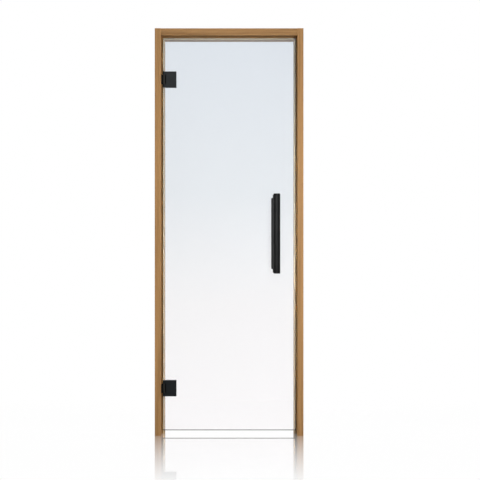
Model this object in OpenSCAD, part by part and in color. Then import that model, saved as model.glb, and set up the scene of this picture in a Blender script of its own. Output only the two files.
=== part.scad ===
// Sauna door: a single pane of safety glass hung in a three-sided, rebated wooden frame.
// The frame stands on the floor with no threshold, and the leaf opens outwards, towards -Y.
// The origin is on the hinge jamb's outer side, at floor level, halfway through the frame's depth.
// +X runs from the hinge jamb to the latch jamb, +Y into the warm room and +Z up.

/* [Frame] */
// Overall width of the frame
frame_w = 690; // [590:10:990]
// Overall height of the frame
frame_h = 1890; // [1790:10:2190]
// Depth of the frame, from its outside face to its inside face
frame_depth = 92; // [85:1:130]
// Width of the jambs' outside face, beside the glass
face_w = 29; // [28:1:40]
// Height of the head's outside face, over the glass
head_face_h = 32.5; // [29:0.5:45]
// How far the stop stands past those faces, behind the glass
stop_w = 13; // [12:0.5:20]
// Depth of the rebate in front of the stop
rebate_depth = 50; // [47:1:60]
// Radius of the eased edges of the frame
edge_r = 3; // [1:0.5:4]
// Radius of the eased edge at the front of the stop
stop_edge_r = 1; // [0.5:0.25:1.5]

/* [Glass] */
// Thickness of the glass
glass_t = 8; // [6:1:10]
// Gap between the rebate and the glass on the hinge side
hinge_gap = 6; // [5:0.5:8]
// Gap between the glass and the rebate on the latch side
latch_gap = 5; // [4:0.5:8]
// Gap between the glass and the rebate at the top
top_gap = 5; // [5:0.5:9]
// Gap between the floor and the glass, where fresh air comes in
floor_gap = 18; // [10:1:40]
// Space between the back of the glass and the stop, which the seals fill
seal_space = 4; // [3.5:0.25:5]
// Radius of the glass's four corners
glass_corner_r = 3; // [1:0.5:6]
// Width of the ground bevel along the glass's edges
glass_bevel = 0.8; // [0.4:0.1:1.5]

/* [Seals] */
// Width of a seal's soft bead
seal_w = 7; // [5:0.5:8]
// Distance from the stop's edge to the middle of the bead
seal_inset = 4.5; // [4.5:0.25:6]
// Width of the tongue that holds a seal in its groove
tongue_w = 3; // [2:0.25:4]
// Length of the tongue
tongue_l = 5; // [3:0.5:6]
// Depth of the groove
groove_depth = 6; // [6:0.5:10]
// Wall thickness of the hollow bead
bead_wall = 0.9; // [0.6:0.1:1.2]

/* [Hinges] */
// Distance from the glass's top to the middle of the upper hinge
upper_hinge_inset = 194.5; // [120:0.5:300]
// Distance from the glass's foot to the middle of the lower hinge
lower_hinge_inset = 197; // [120:0.5:300]
// Height of the clamp plates
plate_h = 75; // [66:1:100]
// Reach of the clamp plates past the pin's axis
plate_reach = 58; // [50:1:80]
// Thickness of the clamp plates
plate_t = 5; // [4:0.5:7]
// Bevel along the plates' edges
plate_bevel = 1; // [0.5:0.1:1.5]
// Thickness of the gaskets between the plates and the glass
gasket_t = 1; // [0.5:0.25:2]
// How far a gasket stays inside its plate's edge
gasket_inset = 0.7; // [0.3:0.1:2]
// Height of the notch that takes the knuckle
notch_h = 44; // [36:1:50]
// Depth of the notch beside the knuckle, from the plate's front
notch_depth = 8; // [6:0.5:9]
// Diameter of the knuckle and of the lugs over and under it
knuckle_d = 10; // [9:0.5:12]
// Gap between the knuckle and the notch's side
knuckle_gap = 5; // [4:0.5:6]
// Gap over and under the knuckle
knuckle_end_gap = 0.5; // [0.3:0.1:1]
// Diameter of the hinge pin
pin_d = 6; // [4:0.5:7]
// Radial running clearance of the pin in the knuckle
pin_clearance = 0.05; // [0.02:0.01:0.1]
// Distance from the rebate to the pin's axis
axis_inset = 11; // [10.5:0.5:14]
// Height of each boss, over or under the notch
boss_h = 12; // [8:1:13]
// Radial room round the knuckle in the block behind it
knuckle_room = 1; // [0.5:0.25:1.5]
// Room left round the bosses in the glass's cut-out
cutout_gap = 1; // [0.5:0.25:2]
// Radius of the bosses' corners, which the cut-out's corners run round
boss_corner_r = 3; // [1:0.5:4]
// Thickness of the frame leaf
leaf_t = 3; // [2:0.5:4]
// Depth of the frame leaf, from the knuckle's neck towards the outside
leaf_depth = 34; // [26:1:36]
// Thickness of the neck between the frame leaf and the knuckle
neck_t = 4; // [3:0.5:5]

/* [Clamp screws] */
// Distance from the pin's axis to the clamp screws
clamp_reach = 34; // [26:1:42]
// Distance between the two clamp screws
clamp_spacing = 40; // [30:1:44]
// Diameter of the clamp screws
clamp_d = 6; // [4:0.5:6]
// Diameter of their countersunk heads
clamp_head_d = 11.5; // [9:0.5:13]
// Diameter of the spigots that pass through the glass
spigot_d = 12; // [9:0.5:14]
// Thickness of the collar round a spigot
collar_t = 1; // [0.75:0.25:2]

/* [Handle] */
// Height of the middle of the handle over the floor
handle_z = 938; // [850:1:1100]
// Distance from the glass's closing edge to the bar's axis
handle_inset = 90; // [70:1:140]
// Diameter of the grip bar
bar_d = 31; // [25:1:40]
// Length of the grip bar
bar_l = 370; // [300:5:600]
// Wall thickness of the bar's tube
bar_wall = 2; // [1.5:0.5:3]
// Thickness of the head of a bar's end cap
cap_t = 3; // [2:0.5:5]
// Depth of an end cap's plug inside the tube
plug_l = 12; // [6:1:20]
// Space for the fingers between the rail and the bar
grip_gap = 30; // [25:1:45]
// Length of the rail behind the bar
rail_l = 332; // [270:1:560]
// Width of the rail
rail_w = 41; // [34:1:50]
// Thickness of the rail
rail_t = 6; // [4:0.5:10]
// How far the rail's middle lies off the bar's axis, towards the hinges
rail_shift = 4; // [0:0.5:5]
// Radius of the rail's corners
rail_corner_r = 4; // [2:0.5:8]
// Diameter of the posts
post_d = 18; // [14:1:22]
// Distance from each end of the rail to its post's axis
post_inset = 56; // [30:1:70]
// Diameter of the studs that join the two handles through the glass
stud_d = 8; // [6:1:10]
// Depth of a stud inside a post
stud_grip = 18; // [12:1:24]
// Thickness of the sleeve round a stud in the glass
sleeve_t = 2; // [1:0.5:3]

/* [Screws] */
// Diameter of the screws that hold a frame leaf
leaf_screw_d = 4; // [3:0.5:5]
// Length of those screws
leaf_screw_l = 22; // [16:1:25]
// Distance between the upper and the lower leaf screw
leaf_screw_spacing = 26; // [18:1:28]
// Diameter of the screws that hold the frame's corners together
corner_screw_d = 5; // [4:0.5:6]
// Length of those screws
corner_screw_l = 80; // [65:5:100]
// Diameter of the holes for the bolts into the wall
wall_bolt_d = 8; // [6:0.5:10]
// Diameter of the recess for a bolt's head
wall_head_d = 15; // [12:0.5:18]
// Depth of that recess
wall_head_depth = 6; // [4:0.5:10]
// Distance from each end of a jamb to its nearest bolt
wall_bolt_inset = 120; // [90:5:150]

/* [Hidden] */
$fn = 48;

// Radial gap round a screw, stud or pin that is fixed in its hole
seat_gap = 0.05;
// Gap between a soft seal and the glass that closes on it
seal_rest_gap = 0.3;
// Least distance between the swinging leaf and the frame, away from the pins
swing_clearance = 5;
// How far a cutting shape runs past the face that it cuts
over = 1;

// Frame: the main faces, from outside (-Y) to inside (+Y)
front_y = -frame_depth / 2;
back_y = frame_depth / 2;
stop_y = front_y + rebate_depth;
jamb_w = face_w + stop_w;
head_face_z = frame_h - head_face_h;
head_stop_z = head_face_z - stop_w;

// Glass: its four edges and two faces
glass_x0 = face_w + hinge_gap;
glass_x1 = frame_w - face_w - latch_gap;
glass_z0 = floor_gap;
glass_z1 = head_face_z - top_gap;
glass_back_y = stop_y - seal_space;
glass_front_y = glass_back_y - glass_t;

// Hinges: the pin's axis, with the knuckle's front flush with the plate's front
axis_x = face_w + axis_inset;
plate_front_y = glass_front_y - gasket_t - plate_t;
axis_y = plate_front_y + knuckle_d / 2;
upper_hinge_z = glass_z1 - upper_hinge_inset;
lower_hinge_z = glass_z0 + lower_hinge_inset;

// The same faces seen from the pin's axis, which each hinge's own shapes are drawn round
knuckle_r = knuckle_d / 2;
plate_back = plate_t - knuckle_r;
glass_front = plate_back + gasket_t;
glass_back = glass_front + glass_t;
inner_front = glass_back + gasket_t;
inner_left = jamb_w + swing_clearance - axis_x;
notch_side = knuckle_r + knuckle_gap;
boss_right = notch_side + 1;
boss_top = notch_h / 2 + boss_h;
cutout_right = boss_right + cutout_gap;
cutout_half_h = boss_top + cutout_gap;
glass_left = glass_x0 - axis_x;
gasket_left = cutout_right + gasket_inset;
clamp_zs = [-clamp_spacing / 2, clamp_spacing / 2];
clamp_head_h = (clamp_head_d - clamp_d) / 2;
leaf_back = neck_t / 2;
leaf_x = -axis_inset;
leaf_h = notch_h - 2 * knuckle_end_gap;
leaf_head_d = 2 * leaf_screw_d;
leaf_screw_places = [[-11, 1], [-23, 0], [-11, -1]];

// Seals: the glass's hinge-side corner swings past its closed place, so that bead is lower
seal_h = seal_space - seal_rest_gap;
corner_swing_r = norm([glass_left, glass_back]);
corner_reach_y = axis_y + corner_swing_r;
hinge_seal_h = min(seal_h, stop_y - corner_reach_y - seal_rest_gap);
seal_x = jamb_w - seal_inset;
seal_z = head_stop_z + seal_inset;
head_seal_x = jamb_w + seat_gap;
swing_clear_x = axis_x - glass_left;

// Handle: what stands on each face of the glass, measured out from that face
handle_x = glass_x1 - handle_inset;
rail_x = handle_x - rail_shift;
rail_out = gasket_t + rail_t;
bar_out = rail_out + grip_gap + bar_d / 2;
sleeve_d = stud_d + 2 * sleeve_t;
post_spacing = rail_l - 2 * post_inset;
post_zs = [handle_z - post_spacing / 2, handle_z + post_spacing / 2];
spigot_into_bar = 5;
spigot_bar_d = 10;
glass_middle_y = (glass_front_y + glass_back_y) / 2;

// Screws and bolts in the wood
corner_head_d = 2 * corner_screw_d;
corner_screw_y = [stop_y - rebate_depth * 0.55, stop_y + (back_y - stop_y) / 2];
corner_screw_z = frame_h - head_face_h / 2;
wall_bolt_y = stop_y - rebate_depth / 2;
wall_bolt_zs = [wall_bolt_inset, frame_h / 2, frame_h - wall_bolt_inset];

// What an eased outside corner takes away, for a corner whose wood lies towards +x and +y
module eased_corner(r) {
    difference() {
        translate([-over, -over]) square(r + over);
        translate([r, r]) circle(r);
    }
}

// A rectangle whose four corners are eased
module eased_rectangle(w, h, r) {
    difference() {
        square([w, h]);
        eased_corner(r);
        translate([w, 0]) mirror([1, 0]) eased_corner(r);
        translate([0, h]) mirror([0, 1]) eased_corner(r);
        translate([w, h]) rotate(180) eased_corner(r);
    }
}

// A rectangle that reaches from x0 to x1 and to half_h over and under y = 0, rounded on its right
module right_rounded(x0, x1, half_h, r) {
    difference() {
        translate([x0, -half_h]) square([x1 - x0, 2 * half_h]);
        translate([x1, -half_h]) mirror([1, 0]) eased_corner(r);
        translate([x1, half_h]) rotate(180) eased_corner(r);
    }
}

// A slab with its front (-Y) edges bevelled: w along X, t along Y and h along Z
module bevelled_slab(w, t, h, bevel) {
    intersection() {
        linear_extrude(h)
            polygon([[0, bevel], [bevel, 0], [w - bevel, 0], [w, bevel], [w, t], [0, t]]);
        rotate([90, 0, 90]) linear_extrude(w)
            polygon([[0, bevel], [bevel, 0], [t, 0], [t, h], [bevel, h], [0, h - bevel]]);
    }
}

// A countersunk screw along +X, with its head's flat top at x = 0
module wood_screw(d, head_d, l) {
    head_h = (head_d - d) / 2;
    rotate([0, 90, 0]) rotate_extrude()
        polygon([[0, 0], [head_d / 2, 0], [d / 2, head_h], [d / 2, l - d], [0, l]]);
}

// The hole that such a screw sits in
module wood_screw_hole(d, head_d, l) {
    head_h = (head_d - d) / 2;
    rotate([0, 90, 0]) rotate_extrude()
        polygon([[0, -over], [head_d / 2 + seat_gap, -over], [head_d / 2 + seat_gap, 0],
            [d / 2 + seat_gap, head_h], [d / 2 + seat_gap, l + over], [0, l + over]]);
}

// Frame members

// Outline of a jamb, seen from above: the face beside the glass and the stop behind it
module jamb_outline() {
    difference() {
        union() {
            translate([0, front_y]) square([face_w, frame_depth]);
            translate([0, stop_y]) square([jamb_w, back_y - stop_y]);
        }
        translate([0, front_y]) eased_corner(edge_r);
        translate([0, back_y]) mirror([0, 1]) eased_corner(edge_r);
        translate([face_w, front_y]) mirror([1, 0]) eased_corner(edge_r);
        translate([jamb_w, stop_y]) mirror([1, 0]) eased_corner(stop_edge_r);
        translate([jamb_w, back_y]) rotate(180) eased_corner(edge_r);
        translate([seal_x - tongue_w / 2, stop_y - over]) square([tongue_w, groove_depth + over]);
    }
}

// A jamb with its groove, wall bolt holes and corner screw holes
module jamb() {
    difference() {
        linear_extrude(frame_h) jamb_outline();
        for (z = wall_bolt_zs) translate([0, wall_bolt_y, z]) rotate([0, 90, 0]) {
            translate([0, 0, -over]) cylinder(d = wall_bolt_d, h = jamb_w);
            translate([0, 0, face_w - wall_head_depth]) cylinder(d = wall_head_d, h = jamb_w);
        }
        for (y = corner_screw_y) translate([0, y, corner_screw_z])
            wood_screw_hole(corner_screw_d, corner_head_d, corner_screw_l);
    }
}

module hinge_jamb() {
    color([0.70, 0.53, 0.35]) difference() {
        jamb();
        for (z = [upper_hinge_z, lower_hinge_z]) translate([axis_x, axis_y, z]) {
            translate([leaf_x - leaf_t, leaf_back - leaf_depth, -leaf_h / 2])
                cube([leaf_t + over, leaf_depth, leaf_h]);
            leaf_screws_at() wood_screw_hole(leaf_screw_d, leaf_head_d, leaf_screw_l);
        }
    }
}

module latch_jamb() {
    color([0.70, 0.53, 0.35]) translate([frame_w, 0, 0]) mirror([1, 0, 0]) jamb();
}

// The head stands between the jambs, its front part up to their faces and its stop up to theirs
module head_jamb() {
    color([0.72, 0.55, 0.37]) difference() {
        union() {
            translate([face_w, 0, 0]) rotate([90, 0, 90]) linear_extrude(frame_w - 2 * face_w)
                difference() {
                    translate([front_y, head_face_z]) square([rebate_depth, head_face_h]);
                    translate([front_y, head_face_z]) eased_corner(edge_r);
                    translate([front_y, frame_h]) mirror([0, 1]) eased_corner(edge_r);
                }
            translate([jamb_w, 0, 0]) rotate([90, 0, 90]) linear_extrude(frame_w - 2 * jamb_w)
                difference() {
                    translate([stop_y, head_stop_z]) square([back_y - stop_y, frame_h - head_stop_z]);
                    translate([stop_y, head_stop_z]) eased_corner(stop_edge_r);
                    translate([back_y, head_stop_z]) mirror([1, 0]) eased_corner(edge_r);
                    translate([back_y, frame_h]) rotate(180) eased_corner(edge_r);
                    translate([stop_y - over, seal_z - tongue_w / 2])
                        square([groove_depth + over, tongue_w]);
                }
        }
        for (y = corner_screw_y) {
            translate([0, y, corner_screw_z])
                wood_screw_hole(corner_screw_d, corner_head_d, corner_screw_l);
            translate([frame_w, y, corner_screw_z]) mirror([1, 0, 0])
                wood_screw_hole(corner_screw_d, corner_head_d, corner_screw_l);
        }
    }
}

module corner_screws() {
    color([0.75, 0.72, 0.62]) for (y = corner_screw_y) {
        translate([0, y, corner_screw_z]) wood_screw(corner_screw_d, corner_head_d, corner_screw_l);
        translate([frame_w, y, corner_screw_z]) mirror([1, 0, 0])
            wood_screw(corner_screw_d, corner_head_d, corner_screw_l);
    }
}

// Seals

// Outline of a seal: a soft hollow bead of height h in front of the stop (-y), a tongue behind it
module seal_outline(h) {
    bead_r = (pow(seal_w / 2, 2) + h * h) / (2 * h);
    difference() {
        intersection() {
            translate([0, bead_r - h]) circle(bead_r);
            translate([-seal_w / 2, -h - over]) square([seal_w, h + over]);
        }
        intersection() {
            translate([0, bead_r - h]) circle(bead_r - bead_wall);
            translate([-seal_w / 2, -h]) square([seal_w, h - bead_wall]);
        }
    }
    translate([-tongue_w / 2 + seat_gap, -bead_wall / 2])
        square([tongue_w - 2 * seat_gap, tongue_l + bead_wall / 2]);
}

module side_seal(h) {
    linear_extrude(seal_z + seal_w / 2) translate([seal_x, stop_y]) seal_outline(h);
}

module hinge_side_seal() {
    color([0.80, 0.72, 0.58]) side_seal(hinge_seal_h);
}

module latch_side_seal() {
    color([0.80, 0.72, 0.58]) translate([frame_w, 0, 0]) mirror([1, 0, 0]) side_seal(seal_h);
}

// The head's seal is pared down at its hinge end, where the glass's corner swings past
module head_seal() {
    bead_y = stop_y - seal_h;
    low_y = stop_y - hinge_seal_h;
    color([0.80, 0.72, 0.58]) difference() {
        translate([head_seal_x, stop_y, seal_z]) rotate([90, 0, 90])
            linear_extrude(frame_w - 2 * head_seal_x) rotate(-90) seal_outline(seal_h);
        translate([0, 0, seal_z - seal_w]) linear_extrude(2 * seal_w)
            polygon([[head_seal_x - over, bead_y - over], [swing_clear_x, bead_y - over],
                [swing_clear_x, bead_y], [head_seal_x, low_y], [head_seal_x - over, low_y]]);
    }
}

// Hinges, each drawn round the middle of its pin

// Puts what follows at each of a frame leaf's screws, pointing into the jamb
module leaf_screws_at() {
    for (place = leaf_screw_places)
        translate([leaf_x, place[0], place[1] * leaf_screw_spacing / 2]) rotate([0, 0, 180]) children();
}

// Frame leaf: a plate let into the rebate, a neck and the knuckle that the pin turns in
module frame_leaf() {
    color([0.10, 0.10, 0.11]) difference() {
        union() {
            translate([leaf_x - leaf_t, leaf_back - leaf_depth, -leaf_h / 2])
                cube([leaf_t, leaf_depth, leaf_h]);
            translate([leaf_x, -neck_t / 2, -leaf_h / 2]) cube([axis_inset, neck_t, leaf_h]);
            cylinder(d = knuckle_d, h = leaf_h, center = true);
        }
        cylinder(d = pin_d + 2 * pin_clearance, h = leaf_h + 2 * over, center = true);
        leaf_screws_at() wood_screw_hole(leaf_screw_d, leaf_head_d, leaf_screw_l);
    }
}

module leaf_screws() {
    color([0.20, 0.20, 0.21]) leaf_screws_at() wood_screw(leaf_screw_d, leaf_head_d, leaf_screw_l);
}

// Outer plate: the clamp's front, with the notch for the knuckle, a lug over and under it,
// the block that houses the knuckle in the glass's cut-out, and the spigots through the glass
module outer_plate() {
    lug_h = (plate_h - notch_h) / 2;
    boss_depth = glass_back - plate_back - cutout_gap;
    color([0.12, 0.12, 0.13]) difference() {
        union() {
            translate([0, -knuckle_r, -plate_h / 2])
                bevelled_slab(plate_reach, plate_t, plate_h, plate_bevel);
            for (side = [-1, 1]) {
                translate([0, 0, side * (notch_h + lug_h) / 2]) intersection() {
                    cylinder(d = knuckle_d, h = lug_h, center = true);
                    translate([-knuckle_d, -knuckle_d, -lug_h])
                        cube([2 * knuckle_d, knuckle_d + plate_back, 2 * lug_h]);
                }
                translate([0, 0, side * (notch_h + boss_h) / 2])
                    cylinder(d = knuckle_d, h = boss_h, center = true);
            }
            translate([0, plate_back + boss_depth, 0]) rotate([90, 0, 0])
                linear_extrude(boss_depth + over) right_rounded(0, boss_right, boss_top, boss_corner_r);
            for (z = clamp_zs) translate([clamp_reach, 0, z]) rotate([-90, 0, 0])
                cylinder(d = spigot_d, h = inner_front - gasket_t / 2);
        }
        cylinder(d = pin_d + 2 * seat_gap, h = plate_h + 2 * over, center = true);
        cylinder(r = knuckle_r + knuckle_room, h = notch_h, center = true);
        translate([-over, -knuckle_r - over, -notch_h / 2])
            cube([notch_side + over, notch_depth + over, notch_h]);
        for (z = clamp_zs) translate([clamp_reach, -knuckle_r + plate_t / 2, z]) rotate([-90, 0, 0])
            cylinder(d = clamp_d + 2 * seat_gap, h = inner_front + knuckle_r);
    }
}

// Inner plate: a plain cover with two countersunk holes, clear of the stop
module inner_plate() {
    plate_w = plate_reach - inner_left;
    color([0.12, 0.12, 0.13]) difference() {
        translate([inner_left, inner_front + plate_t, plate_h / 2]) rotate([180, 0, 0])
            bevelled_slab(plate_w, plate_t, plate_h, plate_bevel);
        for (z = clamp_zs) translate([clamp_reach, inner_front + plate_t, z]) rotate([90, 0, 0])
            rotate_extrude() polygon([[0, -over], [clamp_head_d / 2 + seat_gap, -over],
                [clamp_head_d / 2 + seat_gap, 0], [clamp_d / 2 + seat_gap, clamp_head_h],
                [clamp_d / 2 + seat_gap, plate_t + over], [0, plate_t + over]]);
    }
}

// Gasket between a plate and the glass, with a collar round each spigot on the outer one
module gasket(y, hole_d, collar_l) {
    color([0.07, 0.07, 0.07]) difference() {
        union() {
            translate([gasket_left, y, -plate_h / 2 + gasket_inset])
                cube([plate_reach - gasket_inset - gasket_left, gasket_t, plate_h - 2 * gasket_inset]);
            if (collar_l > 0) for (z = clamp_zs) translate([clamp_reach, y, z]) rotate([-90, 0, 0])
                cylinder(d = hole_d + 2 * collar_t, h = gasket_t + collar_l);
        }
        for (z = clamp_zs) translate([clamp_reach, y - over, z]) rotate([-90, 0, 0])
            cylinder(d = hole_d + 2 * seat_gap, h = gasket_t + collar_l + 2 * over);
    }
}

// Socket-head screws from the inner plate into the spigots
module clamp_screws() {
    socket_d = clamp_d * 0.75;
    socket_depth = clamp_head_h * 0.8;
    tip_y = -knuckle_r + plate_t / 2 + over;
    length = inner_front + plate_t - tip_y;
    color([0.15, 0.15, 0.16]) for (z = clamp_zs)
        translate([clamp_reach, inner_front + plate_t, z]) rotate([90, 0, 0]) difference() {
            rotate_extrude() polygon([[0, 0], [clamp_head_d / 2, 0], [clamp_d / 2, clamp_head_h],
                [clamp_d / 2, length], [0, length]]);
            translate([0, 0, -over]) cylinder(d = socket_d, h = socket_depth + over, $fn = 6);
        }
}

module hinge_pin() {
    color([0.25, 0.25, 0.26]) cylinder(d = pin_d, h = 2 * boss_top - over, center = true);
}

// Puts what follows at the upper or the lower hinge's pin
module at_hinge(z) {
    translate([axis_x, axis_y, z]) children();
}

// Glass pane: cut out for the hinges' bosses and drilled for the clamp screws and the handle
module glass_pane() {
    glass_w = glass_x1 - glass_x0;
    glass_h = glass_z1 - glass_z0;
    color([0.86, 0.92, 0.96, 0.45]) difference() {
        translate([0, glass_back_y, 0]) rotate([90, 0, 0]) linear_extrude(glass_t) difference() {
            translate([glass_x0, glass_z0]) eased_rectangle(glass_w, glass_h, glass_corner_r);
            for (z = [upper_hinge_z, lower_hinge_z]) translate([axis_x, z]) {
                right_rounded(glass_left - over, cutout_right, cutout_half_h, boss_corner_r + cutout_gap);
                for (screw_z = clamp_zs) translate([clamp_reach, screw_z])
                    circle(d = spigot_d + 2 * collar_t + 2 * seat_gap);
            }
            for (z = post_zs) translate([handle_x, z]) circle(d = sleeve_d + 2 * seat_gap);
        }
        for (y = [glass_front_y, glass_back_y]) {
            for (x = [glass_x0, glass_x1]) translate([x, y, glass_z0 - over])
                linear_extrude(glass_h + 2 * over) rotate(45) square(glass_bevel * sqrt(2), center = true);
            for (z = [glass_z0, glass_z1]) translate([glass_x0 - over, y, z]) rotate([90, 0, 90])
                linear_extrude(glass_w + 2 * over) rotate(45) square(glass_bevel * sqrt(2), center = true);
        }
    }
}

// Handle, drawn outwards (+z) from the face of the glass, with its length along y

module rail() {
    color([0.20, 0.20, 0.21]) difference() {
        translate([rail_x - rail_w / 2, handle_z - rail_l / 2, gasket_t])
            linear_extrude(rail_t) eased_rectangle(rail_w, rail_l, rail_corner_r);
        for (z = post_zs) translate([handle_x, z, 0]) cylinder(d = stud_d + 2 * seat_gap, h = rail_out + over);
    }
}

module post(z) {
    color([0.13, 0.13, 0.14]) translate([handle_x, z, 0]) difference() {
        union() {
            difference() {
                translate([0, 0, rail_out]) cylinder(d = post_d, h = bar_out - rail_out);
                translate([0, 0, bar_out]) rotate([90, 0, 0])
                    cylinder(d = bar_d + 2 * seat_gap, h = 2 * post_d, center = true);
            }
            translate([0, 0, rail_out + over]) cylinder(d = spigot_bar_d, h = grip_gap + spigot_into_bar);
        }
        translate([0, 0, rail_out - over]) cylinder(d = stud_d + 2 * seat_gap, h = stud_grip + 2 * over);
    }
}

// The grip bar is a tube, with a hole for each post's spigot
module grip_bar() {
    tube_l = bar_l - 2 * cap_t;
    color([0.14, 0.14, 0.15]) translate([handle_x, handle_z, bar_out]) difference() {
        rotate([90, 0, 0]) difference() {
            cylinder(d = bar_d, h = tube_l, center = true);
            cylinder(d = bar_d - 2 * bar_wall, h = tube_l + 2 * over, center = true);
        }
        for (side = [-1, 1]) translate([0, side * post_spacing / 2, -bar_d])
            cylinder(d = spigot_bar_d + 2 * seat_gap, h = bar_d);
    }
}

// End caps with an eased rim, each with a plug inside the tube
module bar_caps() {
    rim = cap_t / 2;
    plug_r = bar_d / 2 - bar_wall - seat_gap;
    color([0.11, 0.11, 0.12]) for (side = [-1, 1])
        translate([handle_x, handle_z + side * (bar_l / 2 - cap_t), bar_out]) rotate([-side * 90, 0, 0])
            rotate_extrude() polygon([[0, cap_t], [bar_d / 2 - rim, cap_t], [bar_d / 2, cap_t - rim],
                [bar_d / 2, 0], [plug_r, 0], [plug_r, -plug_l], [0, -plug_l]]);
}

// Puts a handle's shapes on the outside or on the inside of the glass
module outside() {
    translate([0, glass_front_y, 0]) rotate([90, 0, 0]) children();
}

module inside() {
    translate([0, 2 * glass_middle_y, 0]) mirror([0, 1, 0]) outside() children();
}

module rail_gasket() {
    strip_w = rail_w - 2 * gasket_inset;
    strip_l = rail_l - 2 * gasket_inset;
    color([0.07, 0.07, 0.07]) difference() {
        translate([rail_x - strip_w / 2, handle_z - strip_l / 2, 0])
            linear_extrude(gasket_t) eased_rectangle(strip_w, strip_l, rail_corner_r);
        for (z = post_zs) translate([handle_x, z, -over])
            cylinder(d = stud_d + 2 * seat_gap, h = gasket_t + 2 * over);
    }
}

module rail_gaskets() {
    outside() rail_gasket();
    inside() rail_gasket();
}

module handle_studs() {
    color([0.62, 0.62, 0.64]) for (z = post_zs) translate([handle_x, glass_middle_y, z]) rotate([90, 0, 0])
        cylinder(d = stud_d, h = glass_t + 2 * (rail_out + stud_grip), center = true);
}

module stud_sleeves() {
    color([0.85, 0.85, 0.83]) for (z = post_zs) translate([handle_x, glass_middle_y, z]) rotate([90, 0, 0])
        difference() {
            cylinder(d = sleeve_d, h = glass_t - 2 * seat_gap, center = true);
            cylinder(d = stud_d + 2 * seat_gap, h = glass_t + over, center = true);
        }
}

hinge_jamb();
latch_jamb();
head_jamb();
hinge_side_seal();
latch_side_seal();
head_seal();
corner_screws();
at_hinge(upper_hinge_z) frame_leaf();  // upper_frame_leaf
at_hinge(lower_hinge_z) frame_leaf();  // lower_frame_leaf
at_hinge(upper_hinge_z) leaf_screws();  // upper_leaf_screws
at_hinge(lower_hinge_z) leaf_screws();  // lower_leaf_screws
glass_pane();
at_hinge(upper_hinge_z) outer_plate();  // upper_outer_plate
at_hinge(upper_hinge_z) inner_plate();  // upper_inner_plate
at_hinge(upper_hinge_z) gasket(plate_back, spigot_d, glass_t - seat_gap);  // upper_outer_gasket
at_hinge(upper_hinge_z) gasket(glass_back, spigot_d, 0);  // upper_inner_gasket
at_hinge(upper_hinge_z) clamp_screws();  // upper_clamp_screws
at_hinge(upper_hinge_z) hinge_pin();  // upper_hinge_pin
at_hinge(lower_hinge_z) outer_plate();  // lower_outer_plate
at_hinge(lower_hinge_z) inner_plate();  // lower_inner_plate
at_hinge(lower_hinge_z) gasket(plate_back, spigot_d, glass_t - seat_gap);  // lower_outer_gasket
at_hinge(lower_hinge_z) gasket(glass_back, spigot_d, 0);  // lower_inner_gasket
at_hinge(lower_hinge_z) clamp_screws();  // lower_clamp_screws
at_hinge(lower_hinge_z) hinge_pin();  // lower_hinge_pin
outside() rail();  // outer_rail
outside() post(post_zs[1]);  // outer_upper_post
outside() post(post_zs[0]);  // outer_lower_post
outside() grip_bar();  // outer_grip_bar
outside() bar_caps();  // outer_bar_caps
inside() rail();  // inner_rail
inside() post(post_zs[1]);  // inner_upper_post
inside() post(post_zs[0]);  // inner_lower_post
inside() grip_bar();  // inner_grip_bar
inside() bar_caps();  // inner_bar_caps
rail_gaskets();
handle_studs();
stud_sleeves();
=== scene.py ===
"""Looks of a sauna door: a glass leaf with black hinges and grip bars in a wooden frame.

Lengths are in metres, in the frame of the packed model: +X from the hinge jamb to the latch jamb,
-Y out towards the person who opens the door, +Z up, with the floor at z = 0.
"""

import math

import bmesh
import bpy
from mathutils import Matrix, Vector


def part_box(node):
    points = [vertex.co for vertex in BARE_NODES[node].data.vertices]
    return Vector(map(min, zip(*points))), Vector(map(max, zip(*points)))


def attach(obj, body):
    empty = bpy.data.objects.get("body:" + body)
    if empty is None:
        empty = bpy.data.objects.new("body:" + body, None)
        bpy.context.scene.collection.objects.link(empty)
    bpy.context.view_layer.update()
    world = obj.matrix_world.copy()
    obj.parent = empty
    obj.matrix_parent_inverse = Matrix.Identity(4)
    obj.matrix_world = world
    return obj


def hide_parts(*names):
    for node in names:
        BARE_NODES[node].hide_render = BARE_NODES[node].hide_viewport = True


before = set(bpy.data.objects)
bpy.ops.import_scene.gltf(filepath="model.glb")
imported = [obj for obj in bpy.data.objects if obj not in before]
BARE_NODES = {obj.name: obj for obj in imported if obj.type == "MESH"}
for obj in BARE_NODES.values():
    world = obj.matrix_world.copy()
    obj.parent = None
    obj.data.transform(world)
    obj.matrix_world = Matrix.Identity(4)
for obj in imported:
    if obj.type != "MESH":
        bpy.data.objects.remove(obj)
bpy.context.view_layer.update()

bl_info = {
    "name": "Sauna door",
    "version": (1, 0, 0),
    "blender": (4, 5, 0),
    "location": "3D View > Sidebar > Sauna Door",
    "description": "Finishes, small fittings and studio of a glass sauna door",
    "category": "Object",
}

MM = 0.001
HINGE_NAMES = ("upper", "lower")
SIDE_NAMES = ("outer", "inner")
FRAME_BODY, LEAF_BODY = "frame", "leaf"

# A seal's tongue, from the stop's face inwards: how far each step goes in and the width there, in mm
TONGUE_ROOT = (0.5, 1.4)
TONGUE_STEPS = ((0.1, 2.8), (1.2, 1.2), (0.1, 2.6), (1.3, 1.0), (0.1, 2.2), (1.7, 0.8))
TONGUE_LENGTH = (TONGUE_ROOT[0] + sum(step for step, _ in TONGUE_STEPS)) * MM

KNUCKLE_GAP, KNUCKLE_WIDTH = 5 * MM, 10 * MM
SEAL_TO_FACE = 5 * MM

FRAME_FRONT_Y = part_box("hinge_jamb")[0].y
DOOR_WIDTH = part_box("latch_jamb")[1].x


# Node trees

def new_material(name):
    """An empty material whose tree holds only its output."""
    material = bpy.data.materials.new(name)
    material.use_nodes = True
    material.node_tree.nodes.clear()
    material.node_tree.nodes.new("ShaderNodeOutputMaterial")
    return material


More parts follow.
